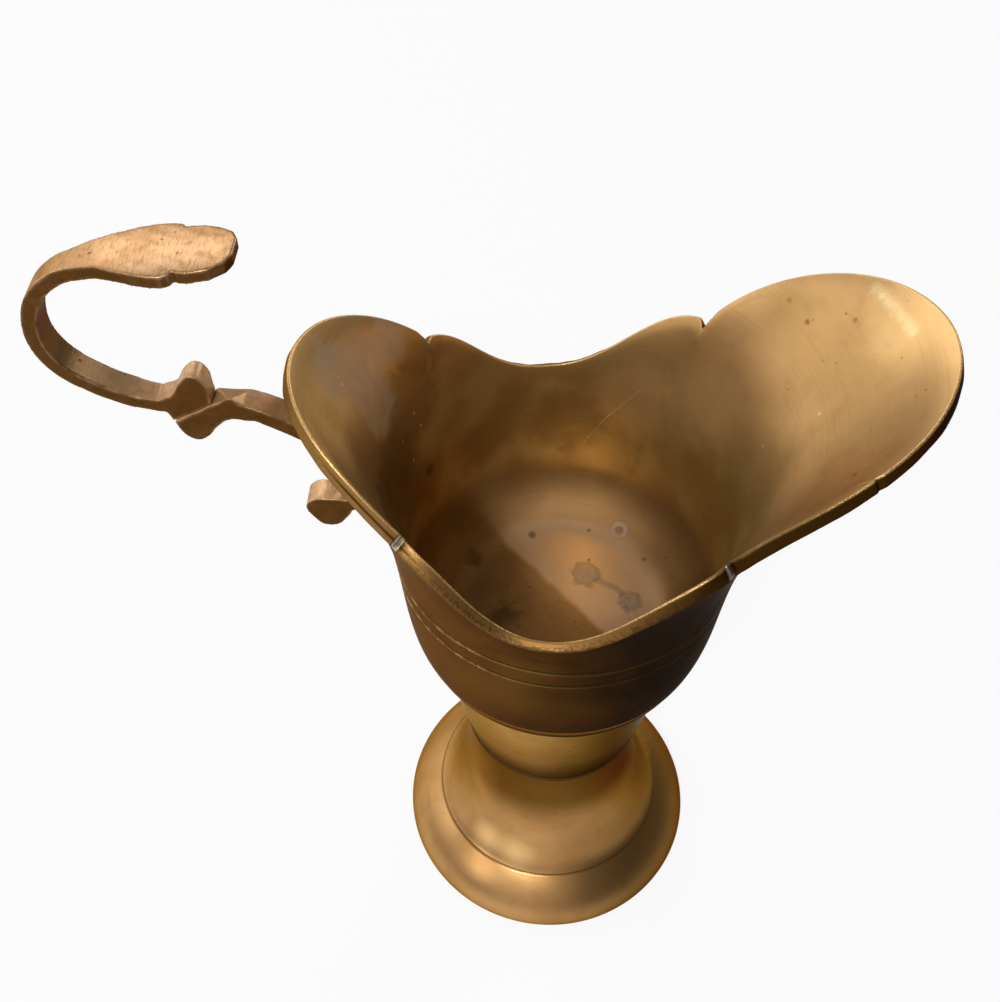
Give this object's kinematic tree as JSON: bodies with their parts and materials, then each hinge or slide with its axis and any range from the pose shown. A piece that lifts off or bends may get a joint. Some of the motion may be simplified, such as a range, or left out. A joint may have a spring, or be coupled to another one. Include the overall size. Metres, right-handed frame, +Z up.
{
  "type": "pedestal pitcher",
  "caption": "Brass pedestal pitcher: a helmet-shaped bowl with a broad pouring lobe on a bell foot, and a scrolled strap handle with a thumb leaf.",
  "frame": {"origin": "on the surface it stands on, under the middle of its length and width", "axes": "+Z up, +X towards the pouring spout, the handle at -X; the turned axis stands parallel to Z at about x = 17 mm"},
  "size_m": [0.1882, 0.088, 0.2251],
  "materials": {
    "bowl_brass": "satin, aged",
    "cup_brass": "satin",
    "foot_brass": "satin",
    "handle_brass": "as cast and filed",
    "stud_brass": "machined",
    "fastener_steel": "zinc plated, dull"
  },
  "bodies": {
    "root": {"foot": "foot_brass", "lower_cup": "cup_brass", "bowl": "bowl_brass", "handle_upper_scroll": "handle_brass", "handle_lower_scroll": "handle_brass", "center_stud": "stud_brass", "foot_washer": "fastener_steel", "foot_nut": "fastener_steel"}
  },
  "joints": []
}
